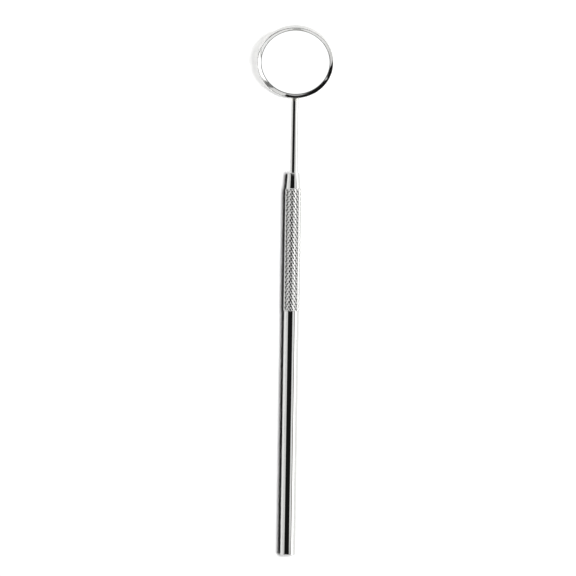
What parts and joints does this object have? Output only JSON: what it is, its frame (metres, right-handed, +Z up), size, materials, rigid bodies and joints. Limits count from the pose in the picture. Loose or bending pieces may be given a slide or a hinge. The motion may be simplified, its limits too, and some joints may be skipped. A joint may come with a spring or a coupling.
{
  "type": "mouth mirror",
  "caption": "Mouth mirror: a round, tilted mirror held by a rim ring in a steel cup, on a slim round stem that screws into a slender tubular handle with a diamond-knurled grip.",
  "frame": {"origin": "centre of the footprint on the surface that the instrument lies on, mirror up", "axes": "+Y along the handle towards the mirror, +Z up, +X to the right as the mirror is seen with the handle nearest"},
  "size_m": [0.024, 0.1664, 0.0133],
  "materials": {
    "polished_steel": "polished stainless steel",
    "knurled_steel": "rolled knurl, lightly polished",
    "mirror_face": "silvered on the front surface",
    "bedding_cement": "set cement",
    "silver_solder": "silver solder, polished over"
  },
  "bodies": {
    "handle": {"end_plug": "polished_steel", "handle_tube": "polished_steel", "joining_spigot": "polished_steel", "knurled_grip": "knurled_steel", "handle_nose": "polished_steel"},
    "hub": {"threaded_hub": "polished_steel"},
    "head": {"stem_rod": "polished_steel", "stem_braze": "silver_solder", "head_cup": "polished_steel", "glass_bedding": "bedding_cement", "mirror_glass": "mirror_face", "rim_ring": "polished_steel"}
  },
  "joints": [
    {"name": "stem_travel", "type": "slide", "parent": "handle", "child": "hub", "axis": [0, 1, 0], "range_m": [0, 0.0045]},
    {"name": "stem_turn", "type": "hinge", "parent": "hub", "child": "head", "pos_m": [0, 0.03727, 0.0026], "axis": [0, 1, 0], "range_deg": [0, 3240]}
  ],
  "couplings": [
    {"joint": "stem_travel", "follows": "stem_turn", "m_per_rad": 0.000079577}
  ]
}
